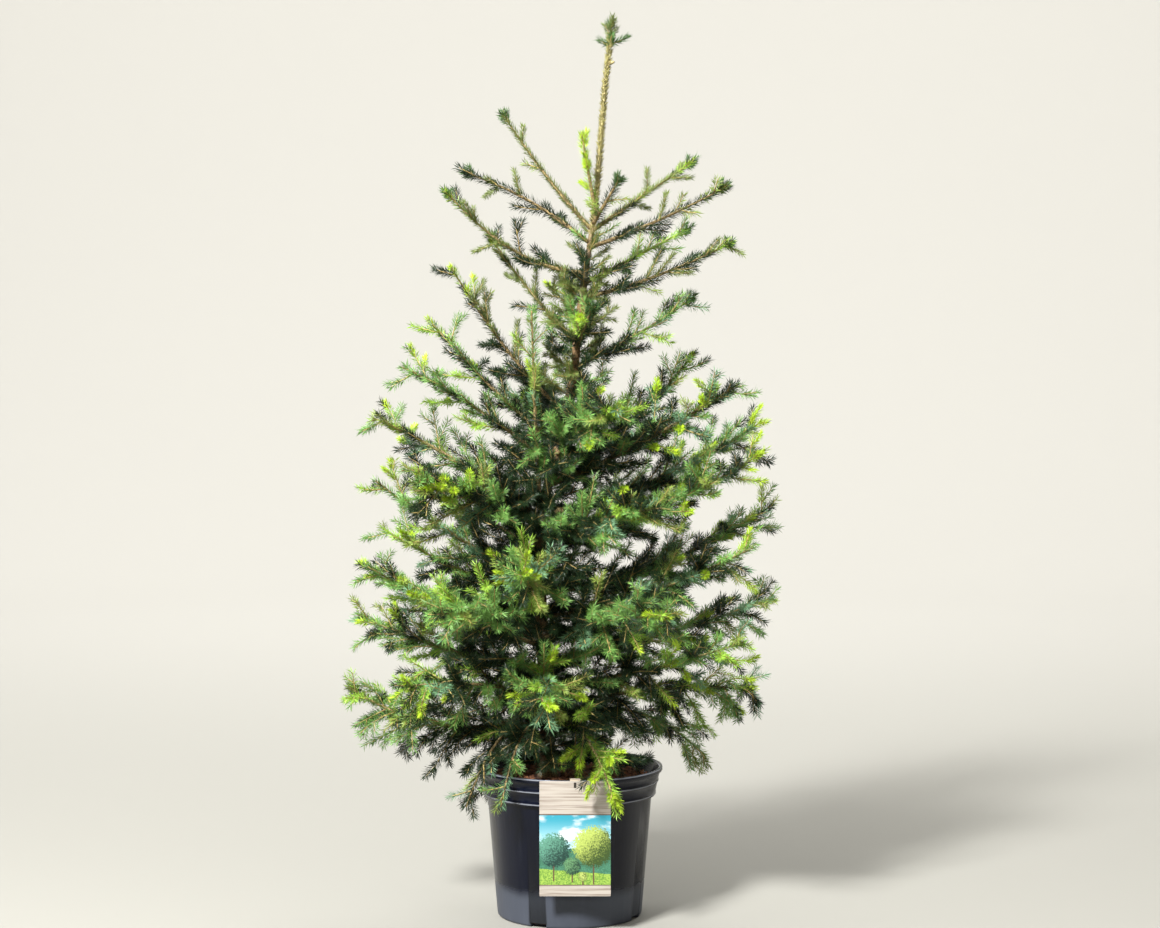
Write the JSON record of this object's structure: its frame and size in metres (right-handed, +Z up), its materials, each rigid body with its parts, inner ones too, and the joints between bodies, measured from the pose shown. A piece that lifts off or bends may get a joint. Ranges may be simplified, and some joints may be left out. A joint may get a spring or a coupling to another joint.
{
  "type": "potted spruce tree",
  "caption": "Young weeping spruce with ascending upper shoots and drooping lower boughs, in a round black nursery pot with a picture label hung on the rim.",
  "frame": {"origin": "centre of the pot's flat underside", "axes": "+Z up from the underside of the pot to the tip of the tree, -Y towards the side with the label, +X to the right of someone facing the label"},
  "size_m": [0.6215, 0.5416, 1.2536],
  "materials": {
    "black_plastic": "satin black moulded plastic",
    "bark_mulch": "moist bark mulch and potting soil",
    "label_card": "printed plastic card",
    "bark": "thin flaky bark",
    "needles_olive": "olive needles of the upper shoots",
    "needles_green": "mid green needles",
    "needles_dark": "dark green needles",
    "needles_fresh": "fresh yellow-green needles"
  },
  "bodies": {
    "root": {"pot": "black_plastic", "soil": "bark_mulch", "label": "label_card", "trunk": "bark", "high_left_shoot_foliage": "needles_olive", "bright_shoot_foliage": "needles_fresh", "short_right_shoot_foliage": "needles_olive", "long_left_shoot_foliage": "needles_olive", "low_left_shoot_foliage": "needles_olive", "high_right_shoot_foliage": "needles_olive", "long_right_shoot_foliage": "needles_olive", "rear_right_shoot_foliage": "needles_green", "low_right_shoot_foliage": "needles_olive", "steep_left_shoot_foliage": "needles_olive", "front_upper_shoot_foliage": "needles_green", "rear_upper_shoot_foliage": "needles_green", "right_upper_shoot_foliage": "needles_green", "left_forked_limb_foliage": "needles_olive", "front_leader_bough": "bark", "front_leader_foliage": "needles_green", "left_rising_limb_foliage": "needles_green", "right_rising_limb_foliage": "needles_green", "left_broad_limb_foliage": "needles_green", "right_broad_limb_bough": "bark", "right_broad_limb_foliage": "needles_dark", "front_high_limb_foliage": "needles_green", "rear_high_limb_foliage": "needles_dark", "left_far_limb_bough": "bark", "left_far_limb_foliage": "needles_green", "right_far_limb_bough": "bark", "right_far_limb_foliage": "needles_dark", "right_mid_limb_foliage": "needles_dark", "front_left_limb_foliage": "needles_green", "front_right_limb_foliage": "needles_green", "rear_left_limb_foliage": "needles_dark", "rear_right_limb_foliage": "needles_dark", "left_level_limb_foliage": "needles_green", "right_level_limb_bough": "bark", "right_level_limb_foliage": "needles_dark", "front_middle_limb_foliage": "needles_green", "left_mid_limb_foliage": "needles_green", "right_lower_limb_foliage": "needles_dark", "front_left_low_limb_foliage": "needles_green", "front_right_low_limb_foliage": "needles_green", "rear_left_low_limb_foliage": "needles_dark", "rear_right_low_limb_foliage": "needles_dark", "left_low_limb_foliage": "needles_green", "right_low_limb_foliage": "needles_dark", "left_lower_limb_foliage": "needles_green", "right_foot_limb_foliage": "needles_green", "front_low_limb_foliage": "needles_green", "left_foot_limb_foliage": "needles_green", "left_weeping_limb_foliage": "needles_green", "right_weeping_limb_foliage": "needles_green", "rear_weeping_limb_foliage": "needles_dark", "left_hanging_spray_foliage": "needles_green", "front_left_spray_foliage": "needles_dark", "front_hanging_spray_foliage": "needles_fresh", "right_hanging_spray_foliage": "needles_green", "top_foliage": "needles_olive"}
  },
  "joints": []
}
